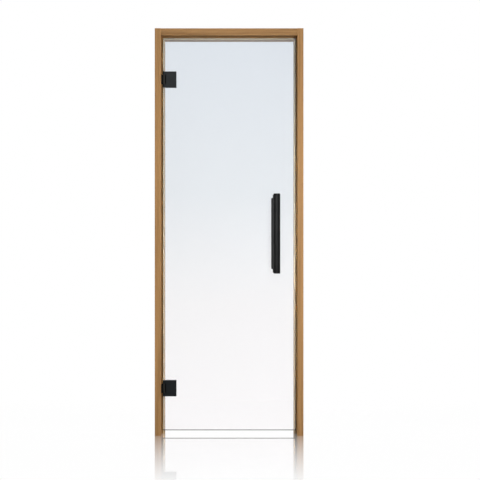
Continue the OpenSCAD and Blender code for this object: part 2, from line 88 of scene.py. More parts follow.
def add_node(tree, kind, settings=None, **inputs):
    """A new node. Settings are its own values, and inputs are sockets by name, set or linked."""
    made = tree.nodes.new("ShaderNode" + kind)
    for key, value in (settings or {}).items():
        setattr(made, key, value)
    for key, value in inputs.items():
        fill_socket(tree, made.inputs[key.replace("_", " ")], value)
    return made


def fill_socket(tree, socket, value):
    """Links an output to the socket, or sets its value."""
    if isinstance(value, bpy.types.NodeSocket):
        tree.links.new(value, socket)
    else:
        socket.default_value = value


def maths(tree, operation, first, second=0.0):
    """The result of one Math node."""
    made = add_node(tree, "Math", {"operation": operation})
    fill_socket(tree, made.inputs[0], first)
    fill_socket(tree, made.inputs[1], second)
    return made.outputs[0]


def blend_colours(tree, factor, first, second, blend="MIX"):
    """The result of one colour mix."""
    made = add_node(tree, "Mix", {"data_type": "RGBA", "blend_type": blend})
    colour_inputs = [s for s in made.inputs if s.type == "RGBA"]
    fill_socket(tree, made.inputs[0], factor)
    fill_socket(tree, colour_inputs[0], first)
    fill_socket(tree, colour_inputs[1], second)
    return next(s for s in made.outputs if s.type == "RGBA")


def ramp(tree, factor, stops):
    """A colour ramp with the given (place, colour) stops."""
    made = add_node(tree, "ValToRGB", Fac=factor)
    elements = made.color_ramp.elements
    while len(elements) > 1:
        elements.remove(elements[-1])
    elements[0].position, elements[0].color = stops[0]
    for place, colour in stops[1:]:
        elements.new(place).color = colour
    return made.outputs["Color"]


def object_coordinates(tree, turn=(0, 0, 0), move=(0, 0, 0), scale=(1, 1, 1)):
    """Object coordinates, first turned, then moved and scaled."""
    source = add_node(tree, "TexCoord").outputs["Object"]
    turned = add_node(tree, "Mapping", Vector=source, Location=move, Rotation=turn)
    placed = add_node(tree, "Mapping", Vector=turned.outputs["Vector"], Scale=scale)
    return placed.outputs["Vector"]


def inside_box(tree, low, high):
    """1 inside a box given in object coordinates, and 0 outside it."""
    axes = add_node(tree, "SeparateXYZ", Vector=object_coordinates(tree))
    mask = 1.0
    for axis, bottom, top in zip("XYZ", low, high):
        within = add_node(tree, "Math", {"operation": "COMPARE"})
        fill_socket(tree, within.inputs[0], axes.outputs[axis])
        fill_socket(tree, within.inputs[1], (bottom + top) / 2)
        fill_socket(tree, within.inputs[2], (top - bottom) / 2)
        mask = maths(tree, "MULTIPLY", within.outputs[0], mask)
    return mask


def finish_material(material, shader):
    """Links the shader to the material's output and gives the material back."""
    output = next(n for n in material.node_tree.nodes if n.type == "OUTPUT_MATERIAL")
    material.node_tree.links.new(shader, output.inputs["Surface"])
    return material


def linear(red, green, blue):
    """A colour given as it looks on screen, 0 to 255, as linear values with full alpha."""
    def channel(value):
        value /= 255
        return value / 12.92 if value <= 0.04045 else ((value + 0.055) / 1.055) ** 2.4
    return (channel(red), channel(green), channel(blue), 1.0)


# Materials

def wood(name, look, pith, turn=(0, 0, 0), tone=1.0):
    """Planed and oiled softly grained wood. The grain runs along Z, or along what turn makes of it.

    The growth rings are circles round the pith, which lies outside the piece, so the faces show
    long bands and the ends show arcs. Fine fibres and short pores run along the grain."""
    material = new_material(name)
    tree = material.node_tree
    grain = object_coordinates(tree, turn=turn, move=pith)
    waver = add_node(tree, "TexNoise", {"noise_dimensions": "3D"},
                     Vector=object_coordinates(tree, turn=turn, move=pith, scale=(14, 14, 1.1)),
                     Scale=1.0, Detail=3.0, Roughness=0.55)
    axes = add_node(tree, "SeparateXYZ", Vector=grain)
    across = maths(tree, "POWER", axes.outputs["X"], 2.0)
    deep = maths(tree, "POWER", axes.outputs["Y"], 2.0)
    radius = maths(tree, "SQRT", maths(tree, "ADD", across, deep))
    bent = maths(tree, "ADD", radius, maths(tree, "MULTIPLY", waver.outputs["Fac"], look.ring_waver))
    phase = maths(tree, "FRACT", maths(tree, "DIVIDE", bent, look.ring_width))
    late = ramp(tree, phase, [(0.0, (0.10, 0.10, 0.10, 1)), (0.55, (0.38, 0.38, 0.38, 1)),
                              (0.88, (1, 1, 1, 1)), (0.97, (0.25, 0.25, 0.25, 1)),
                              (1.0, (0.10, 0.10, 0.10, 1))])
    fibres = add_node(tree, "TexNoise", {"noise_dimensions": "3D"},
                      Vector=object_coordinates(tree, turn=turn, scale=(900, 900, 16)),
                      Scale=1.0, Detail=4.0, Roughness=0.6)
    streaks = add_node(tree, "TexNoise", {"noise_dimensions": "3D"},
                       Vector=object_coordinates(tree, turn=turn, move=pith, scale=(95, 95, 1.8)),
                       Scale=1.0, Detail=2.0, Roughness=0.5)
    pores = add_node(tree, "TexNoise", {"noise_dimensions": "3D"},
                     Vector=object_coordinates(tree, turn=turn, scale=(1500, 1500, 70)),
                     Scale=1.0, Detail=1.0, Roughness=0.5)
    pore_mask = ramp(tree, pores.outputs["Fac"], [(0.0, (1, 1, 1, 1)), (0.30, (1, 1, 1, 1)),
                                                  (0.36, (0, 0, 0, 1)), (1.0, (0, 0, 0, 1))])
    early = [value * tone for value in look.early_colour[:3]] + [1.0]
    dark = [value * tone for value in look.late_colour[:3]] + [1.0]
    ringed = blend_colours(tree, maths(tree, "MULTIPLY", late, look.ring_contrast), early, dark)
    patchy = ramp(tree, streaks.outputs["Fac"], [(0.32, (0.74, 0.71, 0.68, 1)), (0.5, (1, 1, 1, 1)),
                                                 (0.68, (1.16, 1.15, 1.12, 1))])
    toned = blend_colours(tree, look.streak_strength, ringed, patchy, "MULTIPLY")
    fibre_shade = ramp(tree, fibres.outputs["Fac"], [(0.3, (0.82, 0.80, 0.78, 1)), (0.6, (1, 1, 1, 1))])
    fibrous = blend_colours(tree, look.fibre_strength, toned, fibre_shade, "MULTIPLY")
    pored = blend_colours(tree, maths(tree, "MULTIPLY", pore_mask, look.pore_strength), fibrous,
                          [value * 0.5 for value in dark[:3]] + [1.0])
    relief = maths(tree, "SUBTRACT", fibres.outputs["Fac"], maths(tree, "MULTIPLY", pore_mask, 0.8))
    bump = add_node(tree, "Bump", Strength=0.18, Distance=0.0003, Height=relief)
    rough = ramp(tree, late, [(0.0, (0.56, 0.56, 0.56, 1)), (1.0, (0.44, 0.44, 0.44, 1))])
    shader = add_node(tree, "BsdfPrincipled", Base_Color=pored, Roughness=rough,
                      Normal=bump.outputs["Normal"])
    shader.inputs["Specular IOR Level"].default_value = look.oil_shine
    return finish_material(material, shader.outputs["BSDF"])


def black_coat(name, colour, roughness, shine, painted_shade_boxes=(), speckle_size=0.0011):
    """Satin powder coat: a very fine orange-peel skin with slightly uneven gloss.

    Each box, given by two corners, is painted shade: inside it the colour is painted nearly black and the coat
    is made dull."""
    material = new_material(name)
    tree = material.node_tree
    places = object_coordinates(tree, scale=(1 / speckle_size,) * 3)
    peel = add_node(tree, "TexNoise", Vector=places, Scale=1.0, Detail=2.0, Roughness=0.5)
    cloud = add_node(tree, "TexNoise", Vector=object_coordinates(tree), Scale=45.0, Detail=3.0)
    bump = add_node(tree, "Bump", Strength=0.12, Distance=0.0002, Height=peel.outputs["Fac"])
    gloss = ramp(tree, cloud.outputs["Fac"], [(0.3, (roughness - 0.05,) * 3 + (1,)),
                                              (0.7, (roughness + 0.06,) * 3 + (1,))])
    base = blend_colours(tree, cloud.outputs["Fac"], [value * 0.88 for value in colour[:3]] + [1],
                         [value * 1.12 for value in colour[:3]] + [1])
    # Painted shade: inside each box the colour drops to 0.15 of the coat's and the gloss turns dull
    for low, high in painted_shade_boxes:
        deep = inside_box(tree, low, high)
        base = blend_colours(tree, deep, base, [value * 0.15 for value in colour[:3]] + [1])
        gloss = blend_colours(tree, deep, gloss, (0.95, 0.95, 0.95, 1))
    shader = add_node(tree, "BsdfPrincipled", Base_Color=base, Roughness=gloss,
                      Normal=bump.outputs["Normal"])
    shader.inputs["Specular IOR Level"].default_value = shine
    return finish_material(material, shader.outputs["BSDF"])


def bare_steel(name, colour, roughness):
    """Turned steel with faint round tool marks."""
    material = new_material(name)
    tree = material.node_tree
    marks = add_node(tree, "TexNoise", Vector=object_coordinates(tree, scale=(900, 900, 900)),
                     Scale=1.0, Detail=2.0)
    gloss = ramp(tree, marks.outputs["Fac"], [(0.3, (roughness - 0.07,) * 3 + (1,)),
                                              (0.7, (roughness + 0.08,) * 3 + (1,))])
    base = blend_colours(tree, marks.outputs["Fac"], [value * 0.85 for value in colour[:3]] + [1],
                         colour)
    shader = add_node(tree, "BsdfPrincipled", Base_Color=base, Metallic=1.0, Roughness=gloss)
    return finish_material(material, shader.outputs["BSDF"])


def soft_rubber(name, colour, roughness):
    """Moulded rubber or silicone with a faint matt skin."""
    material = new_material(name)
    tree = material.node_tree
    skin = add_node(tree, "TexNoise", Vector=object_coordinates(tree), Scale=700.0, Detail=2.0)
    cloud = add_node(tree, "TexNoise", Vector=object_coordinates(tree), Scale=30.0, Detail=2.0)
    bump = add_node(tree, "Bump", Strength=0.1, Distance=0.0002, Height=skin.outputs["Fac"])
    base = blend_colours(tree, cloud.outputs["Fac"], [value * 0.9 for value in colour[:3]] + [1],
                         [min(value * 1.08, 1) for value in colour[:3]] + [1])
    shader = add_node(tree, "BsdfPrincipled", Base_Color=base, Roughness=roughness,
                      Normal=bump.outputs["Normal"])
    return finish_material(material, shader.outputs["BSDF"])


def satin_glass(name, look):
    """Safety glass with a fine haze, a pale cast with a painted reflection that is cool and dim at the top and
    fades to white at the foot, and dark ground edges, the upright ones olive-brown with painted shade of the
    gap beside them.

    Rays from lamps pass through it, so that what is behind it is lit, but not through its edges."""
    material = new_material(name)
    tree = material.node_tree
    low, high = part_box("glass_pane")
    axes = add_node(tree, "SeparateXYZ", Vector=object_coordinates(tree))
    height = maths(tree, "DIVIDE", maths(tree, "SUBTRACT", axes.outputs["Z"], low.z), high.z - low.z)
    # Painted reflection: a ramp over the glass's height, cool and dim at the top, white at the foot
    painted_reflection = ramp(tree, height, [(0.0, tuple(look.foot_colour)), (0.32, tuple(look.middle_colour)),
                               (0.6, tuple(look.upper_colour)), (1.0, tuple(look.top_colour))])
    inset = maths(tree, "MINIMUM", maths(tree, "SUBTRACT", axes.outputs["X"], low.x),
                  maths(tree, "SUBTRACT", high.x, axes.outputs["X"]))
    rim = maths(tree, "LESS_THAN", inset, look.edge_width)
    foot = maths(tree, "LESS_THAN", axes.outputs["Z"], low.z + look.foot_edge_width)
    ground = maths(tree, "MAXIMUM", rim, foot)
    # The upright edges' dark tone, olive-brown with painted shade of the gap beside them
    rim_with_shade = blend_colours(tree, rim, painted_reflection, tuple(look.upright_edge_colour_with_shade))
    tinted = blend_colours(tree, foot, rim_with_shade, tuple(look.foot_edge_colour))
    shader = add_node(tree, "BsdfPrincipled", Base_Color=tinted, Roughness=look.roughness, IOR=1.5)
    shader.inputs["Transmission Weight"].default_value = look.clearness
    passed = blend_colours(tree, ground, (0.9, 0.92, 0.93, 1), (0.03, 0.04, 0.03, 1))
    lamp_side = add_node(tree, "BsdfTransparent", Color=passed)
    rays = add_node(tree, "LightPath")
    both = add_node(tree, "MixShader", Fac=rays.outputs["Is Shadow Ray"])
    tree.links.new(shader.outputs["BSDF"], both.inputs[1])
    tree.links.new(lamp_side.outputs["BSDF"], both.inputs[2])
    return finish_material(material, both.outputs["Shader"])


def dress(node, material):
    """Gives a packed node one material in place of its own."""
    piece = BARE_NODES[node]
    piece.data.materials.clear()
    piece.data.materials.append(material)


# Modelling

def new_piece(name):
    """Names the primitive that was just added and moves its place into its mesh."""
    piece = bpy.context.object
    piece.name = name
    piece.data.name = name
    bpy.ops.object.transform_apply(location=True, rotation=True, scale=True)
    return piece


def pick(piece):
    """Makes the piece the only one selected."""
    bpy.ops.object.select_all(action="DESELECT")
    piece.select_set(True)
    bpy.context.view_layer.objects.active = piece


def edit(piece):
    """Opens the piece's mesh for editing, with all of it selected."""
    pick(piece)
    bpy.ops.object.mode_set(mode="EDIT")
    bpy.ops.mesh.select_all(action="SELECT")


def choose(piece, kind, test):
    """Selects only the vertices, edges or faces whose middle passes the test."""
    bpy.ops.mesh.select_mode(type=kind)
    bpy.ops.mesh.select_all(action="DESELECT")
    mesh = bmesh.from_edit_mesh(piece.data)
    parts = {"VERT": mesh.verts, "EDGE": mesh.edges, "FACE": mesh.faces}[kind]
    for part in parts:
        corners = [part.co] if kind == "VERT" else [corner.co for corner in part.verts]
        if test(sum(corners, Vector()) / len(corners)):
            part.select_set(True)
    mesh.select_flush_mode()
    bmesh.update_edit_mesh(piece.data)


def extrude(step):
    """Extrudes what is selected by a step along X, Y and Z."""
    bpy.ops.mesh.extrude_region_move(TRANSFORM_OT_translate={"value": step})


def close_shell():
    """Clears loose edges, merges doubled corners and turns every face outwards."""
    bpy.ops.mesh.select_all(action="SELECT")
    bpy.ops.mesh.delete_loose(use_verts=True, use_edges=True, use_faces=False)
    bpy.ops.mesh.select_all(action="SELECT")
    bpy.ops.mesh.remove_doubles(threshold=MM / 1000)
    bpy.ops.mesh.normals_make_consistent(inside=False)


def smooth(piece, angle=32):
    """Leaves edit mode and smooths the piece over its blunt edges."""
    if bpy.context.mode != "OBJECT":
        bpy.ops.object.mode_set(mode="OBJECT")
    pick(piece)
    bpy.ops.object.shade_smooth_by_angle(angle=math.radians(angle))


def place(piece, location, turn_y=0.0):
    """Turns a finished piece about Y, moves it to its place and keeps both in its mesh."""
    pick(piece)
    piece.rotation_euler.y = turn_y
    piece.location = location
    bpy.ops.object.transform_apply(location=True, rotation=True, scale=True)


def cut(piece, cutter):
    """Takes the cutter's shape out of the piece, and deletes the cutter."""
    pick(piece)
    change = piece.modifiers.new("Cut", "BOOLEAN")
    change.object = cutter
    change.solver = "EXACT"
    bpy.ops.object.modifier_apply(modifier=change.name)
    bpy.data.objects.remove(cutter)


def repeated(pattern, name, placings):
    """One piece made of copies of the pattern, each with its own place and turn about Y."""
    copies = []
    for location, turn_y in placings:
        pick(pattern)
        bpy.ops.object.duplicate()
        copies.append(bpy.context.object)
        place(copies[-1], location, turn_y)
    for copy in copies:
        copy.select_set(True)
    bpy.context.view_layer.objects.active = copies[0]
    bpy.ops.object.join()
    return new_piece(name)


def settle(piece, material, body, slot_name, *replaced):
    """Dresses a new piece, ties it to its body and hides the nodes that it stands for; its slot name is not
    used.
    """
    piece.data.materials.clear()
    piece.data.materials.append(material)
    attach(piece, body)
    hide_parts(*replaced)


def modelled_seal(name, bead_height, bead_width, length, wall):
    """A hollow seal along Z from z = 0, its bead out to -Y and its barbed tongue in to +Y."""
    radius = ((bead_width / 2) ** 2 + bead_height ** 2) / (2 * bead_height)
    middle = (0, radius - bead_height, 0)
    bpy.ops.object.select_all(action="DESELECT")
    bpy.ops.mesh.primitive_circle_add(vertices=90, radius=radius, fill_type="NGON", location=middle)
    piece = new_piece(name)
    edit(piece)
    bpy.ops.mesh.bisect(plane_co=(0, 0, 0), plane_no=(0, 1, 0), clear_outer=True)
    choose(piece, "FACE", lambda spot: True)
    bpy.ops.mesh.delete(type="ONLY_FACE")
    bpy.ops.mesh.primitive_circle_add(vertices=90, radius=radius - wall, fill_type="NGON", location=middle)
    bpy.ops.mesh.bisect(plane_co=(0, -wall, 0), plane_no=(0, 1, 0), clear_outer=True)
    choose(piece, "FACE", lambda spot: True)
    bpy.ops.mesh.delete(type="ONLY_FACE")
    bpy.ops.mesh.select_mode(type="EDGE")
    bpy.ops.mesh.select_all(action="SELECT")
    bpy.ops.mesh.fill()
    root_length, width = (value * MM for value in TONGUE_ROOT)
    bpy.ops.mesh.primitive_plane_add(size=width, location=(0, 0, 0))
    bpy.ops.transform.resize(value=(1, root_length / width, 1), center_override=(0, 0, 0))
    bpy.ops.transform.translate(value=(0, root_length / 2, 0))
    choose(piece, "EDGE", lambda spot: abs(spot.x) < MM / 1000 and spot.y > root_length - MM / 1000)
    for step, next_width in TONGUE_STEPS:
        extrude((0, step * MM, 0))
        bpy.ops.transform.resize(value=(next_width * MM / width, 1, 1), center_override=(0, 0, 0))
        width = next_width * MM
    choose(piece, "FACE", lambda spot: True)
    extrude((0, 0, length))
    close_shell()
    smooth(piece)
    return piece


def pare_end(piece, reach, share):
    """Slopes the bead down to a share of its height over a short reach at the end at z = 0."""
    edit(piece)
    bpy.ops.mesh.bisect(plane_co=(0, 0, reach), plane_no=(0, 0, 1))
    choose(piece, "VERT", lambda spot: spot.z < MM / 1000 and spot.y < -MM / 1000)
    bpy.ops.transform.resize(value=(1, share, 1), center_override=(0, 0, 0))
    smooth(piece)


def modelled_screw(name, head_radius, shank_radius, length):
    """A countersunk screw down -Z with a cross recess, its head's flat top at z = 0."""
    rim, cone, tip = 0.08 * head_radius, head_radius - shank_radius, 2 * shank_radius
    bpy.ops.object.select_all(action="DESELECT")
    bpy.ops.mesh.primitive_cylinder_add(vertices=48, radius=head_radius, depth=rim, location=(0, 0, -rim / 2))
    piece = new_piece(name)
    edit(piece)
    choose(piece, "FACE", lambda spot: spot.z < -rim * 0.9)
    radius = head_radius
    for step, next_radius in ((cone, shank_radius), (length - rim - cone - tip, shank_radius),
                              (tip, shank_radius * 0.2)):
        extrude((0, 0, -step))
        bpy.ops.transform.resize(value=(next_radius / radius,) * 2 + (1,), center_override=(0, 0, 0))
        radius = next_radius
    choose(piece, "FACE", lambda spot: spot.z > -MM / 1000)
    bpy.ops.mesh.bevel(offset=rim * 0.7, segments=3)
    close_shell()
    bpy.ops.object.mode_set(mode="OBJECT")
    arm, blade, depth = 1.15 * head_radius, 0.24 * head_radius, 0.55 * head_radius
    for turn in (0, math.pi / 2):
        bpy.ops.object.select_all(action="DESELECT")
        bpy.ops.mesh.primitive_cube_add(size=1, rotation=(0, 0, turn), scale=(arm, blade, 2 * depth))
        cutter = new_piece("recess_cutter")
        edit(cutter)
        choose(cutter, "FACE", lambda spot: spot.z < -depth * 0.9)
        bpy.ops.transform.resize(value=(0.45, 0.45, 1), center_override=(0, 0, -depth))
        bpy.ops.object.mode_set(mode="OBJECT")
        cut(piece, cutter)
    smooth(piece)
    return piece


def round_cutter(x, z, radius, low_y, high_y):
    """A cylinder along Y that cuts a round hole."""
    bpy.ops.object.select_all(action="DESELECT")
    bpy.ops.mesh.primitive_cylinder_add(vertices=48, radius=radius, depth=high_y - low_y,
                                        location=(x, (low_y + high_y) / 2, z), rotation=(math.pi / 2, 0, 0))
    return new_piece("hole_cutter")


def modelled_pad(name, low, high, corner_radius, holes):
    """A flat rubber pad across Y with round corners and soft rims. Holes are (x, z, radius)."""
    middle, size = (low + high) / 2, high - low
    bpy.ops.object.select_all(action="DESELECT")
    bpy.ops.mesh.primitive_cube_add(size=1, location=middle, scale=size)
    piece = new_piece(name)
    edit(piece)
    choose(piece, "EDGE", lambda spot: abs(abs(spot.x - middle.x) - size.x / 2) < MM / 100
           and abs(abs(spot.z - middle.z) - size.z / 2) < MM / 100)
    bpy.ops.mesh.bevel(offset=corner_radius, segments=6)
    choose(piece, "FACE", lambda spot: abs(abs(spot.y - middle.y) - size.y / 2) < MM / 100)
    bpy.ops.mesh.bevel(offset=size.y * 0.22, segments=2)
    close_shell()
    bpy.ops.object.mode_set(mode="OBJECT")
    for x, z, radius in holes:
        cut(piece, round_cutter(x, z, radius, low.y - MM, high.y + MM))
    smooth(piece)
    return piece


def modelled_tube(name, x, z, outer_radius, inner_radius, low_y, high_y):
    """A short rubber tube along Y with a flange-free, softly rimmed wall."""
    bpy.ops.object.select_all(action="DESELECT")
    bpy.ops.mesh.primitive_cylinder_add(vertices=48, radius=outer_radius, depth=high_y - low_y,
                                        location=(x, (low_y + high_y) / 2, z), rotation=(math.pi / 2, 0, 0))
    piece = new_piece(name)
    edit(piece)
    choose(piece, "FACE", lambda spot: spot.y < low_y + MM / 100 or spot.y > high_y - MM / 100)
    bpy.ops.mesh.bevel(offset=(outer_radius - inner_radius) * 0.25, segments=2)
    bpy.ops.object.mode_set(mode="OBJECT")
    cut(piece, round_cutter(x, z, inner_radius, low_y - MM, high_y + MM))
    smooth(piece)
    return piece


def joined(name, pieces):
    """Joins pieces into one."""
    pick(pieces[0])
    for piece in pieces:
        piece.select_set(True)
    bpy.ops.object.join()
    return new_piece(name)


# Sizes and colours that a user would change

class SaunaDoorWood(bpy.types.PropertyGroup):
    """Look of the frame's wood."""

    early_colour: bpy.props.FloatVectorProperty(
        name="Early wood", description="Colour of the pale part of a growth ring",
        subtype="COLOR", size=4, min=0, max=1, default=linear(181, 140, 94))
    late_colour: bpy.props.FloatVectorProperty(
        name="Late wood", description="Colour of the dark part of a growth ring",
        subtype="COLOR", size=4, min=0, max=1, default=linear(155, 113, 69))
    ring_width: bpy.props.FloatProperty(
        name="Ring width", description="Distance between two growth rings",
        subtype="DISTANCE", min=0.001, max=0.01, default=0.0036)
    ring_waver: bpy.props.FloatProperty(
        name="Ring waver", description="How far the rings wander along the grain",
        subtype="DISTANCE", min=0, max=0.05, default=0.012)
    ring_contrast: bpy.props.FloatProperty(
        name="Ring contrast", description="How much of the late colour shows",
        subtype="FACTOR", min=0, max=1, default=0.6)
    streak_strength: bpy.props.FloatProperty(
        name="Streaks", description="Strength of the broad streaks along the grain",
        subtype="FACTOR", min=0, max=1, default=0.8)
    fibre_strength: bpy.props.FloatProperty(
        name="Fibres", description="Strength of the fine fibres",
        subtype="FACTOR", min=0, max=1, default=0.6)
    pore_strength: bpy.props.FloatProperty(
        name="Pores", description="Strength of the short dark pores",
        subtype="FACTOR", min=0, max=1, default=0.35)
    oil_shine: bpy.props.FloatProperty(
        name="Oil shine", description="Specular level of the oiled surface",
        subtype="FACTOR", min=0, max=1, default=0.03)


class SaunaDoorGlass(bpy.types.PropertyGroup):
    """Look of the glass."""

    # Painted reflection: the four colours below make a ramp over the glass's height that paints the studio's
    # reflection into the glass's pale cast
    top_colour: bpy.props.FloatVectorProperty(
        name="Top", description="Cast at the top of the glass",
        subtype="COLOR", size=4, min=0, max=1, default=linear(222, 228, 235))
    upper_colour: bpy.props.FloatVectorProperty(
        name="Upper", description="Cast at three fifths of the glass's height",
        subtype="COLOR", size=4, min=0, max=1, default=linear(229, 233, 237))
    middle_colour: bpy.props.FloatVectorProperty(
        name="Middle", description="Cast at a third of the glass's height",
        subtype="COLOR", size=4, min=0, max=1, default=linear(245, 244, 245))
    foot_colour: bpy.props.FloatVectorProperty(
        name="Foot", description="Cast at the foot of the glass",
        subtype="COLOR", size=4, min=0, max=1, default=linear(254, 252, 253))
    clearness: bpy.props.FloatProperty(
        name="Clearness", description="Share of the light that passes without being scattered",
        subtype="FACTOR", min=0, max=1, default=0.93)
    roughness: bpy.props.FloatProperty(
        name="Roughness", description="Softness of what is seen through and in the glass",
        subtype="FACTOR", min=0, max=1, default=0.0)
    foot_edge_colour: bpy.props.FloatVectorProperty(
        name="Foot edge", description="Colour of the ground edge at the glass's foot",
        subtype="COLOR", size=4, min=0, max=1, default=linear(84, 86, 78))
    # Partly painted shade: the upright ground edges' own dark tone is made olive-brown to paint in the shade of
    # the gap beside them
    upright_edge_colour_with_shade: bpy.props.FloatVectorProperty(
        name="Upright edges", description="Colour of the ground upright edges, an olive tone",
        subtype="COLOR", size=4, min=0, max=1, default=linear(90, 80, 56))
    edge_width: bpy.props.FloatProperty(
        name="Edge width", description="How far the ground upright edges' colour reaches in",
        subtype="DISTANCE", min=0, max=0.005, default=0.0013)
    foot_edge_width: bpy.props.FloatProperty(
        name="Foot edge width", description="How far that colour reaches up at the glass's foot",
        subtype="DISTANCE", min=0, max=0.01, default=0.003)


class SaunaDoorRubber(bpy.types.PropertyGroup):
    """Look of the seals and gaskets."""

    seal_colour: bpy.props.FloatVectorProperty(
        name="Seals", description="Colour of the soft seals",
        subtype="COLOR", size=4, min=0, max=1, default=linear(212, 188, 146))
    bead_wall: bpy.props.FloatProperty(
        name="Bead wall", description="Wall thickness of a seal's hollow bead",
        subtype="DISTANCE", min=0.0005, max=0.0015, default=0.0009)
    gasket_colour: bpy.props.FloatVectorProperty(
        name="Gaskets", description="Colour of the black gaskets",
        subtype="COLOR", size=4, min=0, max=1, default=linear(26, 26, 27))
    gasket_thickness: bpy.props.FloatProperty(
        name="Gasket thickness", description="Thickness of the gaskets on the glass",
        subtype="DISTANCE", min=0.0005, max=0.002, default=0.001)


class SaunaDoorMetal(bpy.types.PropertyGroup):
    """Look of the hinges and handles."""

    hinge_colour: bpy.props.FloatVectorProperty(
        name="Hinges", description="Colour of the hinges' coat",
        subtype="COLOR", size=4, min=0, max=1, default=linear(25, 28, 30))
    # Painted highlight: the frame leaves' and knuckles' coat is lighter and warmer than the hinges' black,
    # standing in for the knuckles' highlight
    leaf_colour_with_highlight: bpy.props.FloatVectorProperty(
        name="Knuckles", description="Colour of the coat of the frame leaves and their knuckles",
        subtype="COLOR", size=4, min=0, max=1, default=linear(48, 46, 42))
    bar_colour: bpy.props.FloatVectorProperty(
        name="Bars", description="Colour of the grip bars' coat",
        subtype="COLOR", size=4, min=0, max=1, default=linear(18, 18, 19))
    rail_colour: bpy.props.FloatVectorProperty(
        name="Rails", description="Colour of the rails behind the bars",
        subtype="COLOR", size=4, min=0, max=1, default=linear(44, 45, 46))
    roughness: bpy.props.FloatProperty(
        name="Roughness", description="Roughness of the black coat",
        subtype="FACTOR", min=0.1, max=1, default=0.5)
    hinge_shine: bpy.props.FloatProperty(
        name="Hinge shine", description="Specular level of the hinges' coat",
        subtype="FACTOR", min=0, max=1, default=0.1)
    bar_shine: bpy.props.FloatProperty(
        name="Bar shine", description="Specular level of the bars' coat",
        subtype="FACTOR", min=0, max=1, default=0.05)
    rail_shine: bpy.props.FloatProperty(
        name="Rail shine", description="Specular level of the rails' coat",
        subtype="FACTOR", min=0, max=1, default=0.06)


class SaunaDoorStudio(bpy.types.PropertyGroup):
    """Light, floor and camera."""

    camera_height: bpy.props.FloatProperty(
        name="Camera height", description="Height of the lens over the floor",
        subtype="DISTANCE", min=0.1, max=3, default=0.908)
    camera_offset: bpy.props.FloatProperty(
        name="Camera offset", description="How far the lens stands to the right of the door's middle",
        subtype="DISTANCE", min=-1, max=1, default=0.0505)
    camera_distance: bpy.props.FloatProperty(
        name="Camera distance", description="From the lens to the frame's front",
        subtype="DISTANCE", min=1, max=20, default=4.4)
    view_width: bpy.props.FloatProperty(
        name="View width", description="Width of the picture at the frame's front",
        subtype="DISTANCE", min=0.5, max=10, default=2.2253)
    high_power: bpy.props.FloatProperty(
        name="High light", description="Power of the two high soft boxes together, in watts",
        min=0, max=2000, default=12.6)
    low_power: bpy.props.FloatProperty(
        name="Low light", description="Power of the two low soft boxes together, in watts",
        min=0, max=2000, default=8.6)
    right_share: bpy.props.FloatProperty(
        name="Right share", description="Share of that power on the right, as the camera sees it",
        subtype="FACTOR", min=0, max=1, default=0.92)
    lift_power: bpy.props.FloatProperty(
        name="Lift light", description="Power of the small light under the head, in watts",
        min=0, max=2000, default=0.25)
    side_power: bpy.props.FloatProperty(
        name="Side light", description="Power of the two soft boxes beside the door together, in watts",
        min=0, max=2000, default=12.0)
    top_power: bpy.props.FloatProperty(
        name="Top light", description="Power of the soft box over the door, in watts",
        min=0, max=2000, default=3.0)
    back_power: bpy.props.FloatProperty(
        name="Back light", description="Power of the soft box behind the door, in watts",
        min=0, max=2000, default=28.0)
    sheen_power: bpy.props.FloatProperty(
        name="Sheen light", description="Power of the highlight strip over the camera, in watts",
        min=0, max=2000, default=24.0)
    bar_sheen_power: bpy.props.FloatProperty(
        name="Bar sheen light", description="Power of the narrow highlight strip on the bar, in watts",
        min=0, max=2000, default=10.0)
    sky_strength: bpy.props.FloatProperty(
        name="Room light", description="Strength of the even light from all round",
        min=0, max=2, default=0.2)
    floor_show: bpy.props.FloatProperty(
        name="Floor shade", description="How much of the floor's shading shows near the door",
        subtype="FACTOR", min=0, max=1, default=0.12)
    floor_polish: bpy.props.FloatProperty(
        name="Floor polish", description="How clearly the door is mirrored where it meets the floor",
        subtype="FACTOR", min=0, max=1, default=0.86)
    polish_reach: bpy.props.FloatProperty(
        name="Polish reach", description="How far from the door the mirror image fades out",
        subtype="DISTANCE", min=0.1, max=5, default=0.9)


LOOKS = {
    "sauna_door_wood": SaunaDoorWood,
    "sauna_door_glass": SaunaDoorGlass,
    "sauna_door_rubber": SaunaDoorRubber,
    "sauna_door_metal": SaunaDoorMetal,
    "sauna_door_studio": SaunaDoorStudio,
}


# Operators, one for each group of pieces

class SAUNADOOR_OT_wood_frame(bpy.types.Operator):
    """Gives the jambs and the head their wood, each with its own grain"""

    bl_idname = "sauna_door.wood_frame"
    bl_label = "Wooden Frame"

    def execute(self, context):
        look = context.scene.sauna_door_wood
        quarter = math.pi / 2
        dress("hinge_jamb", wood("Hinge jamb wood", look, pith=(0.055, 0.11, 0.0)))
        dress("latch_jamb", wood("Latch jamb wood", look, pith=(-0.745, 0.12, 1.3), tone=1.03))
        dress("head_jamb", wood("Head wood", look, pith=(1.96, 0.13, 0.4), turn=(0, quarter, 0), tone=0.91))
        return {"FINISHED"}


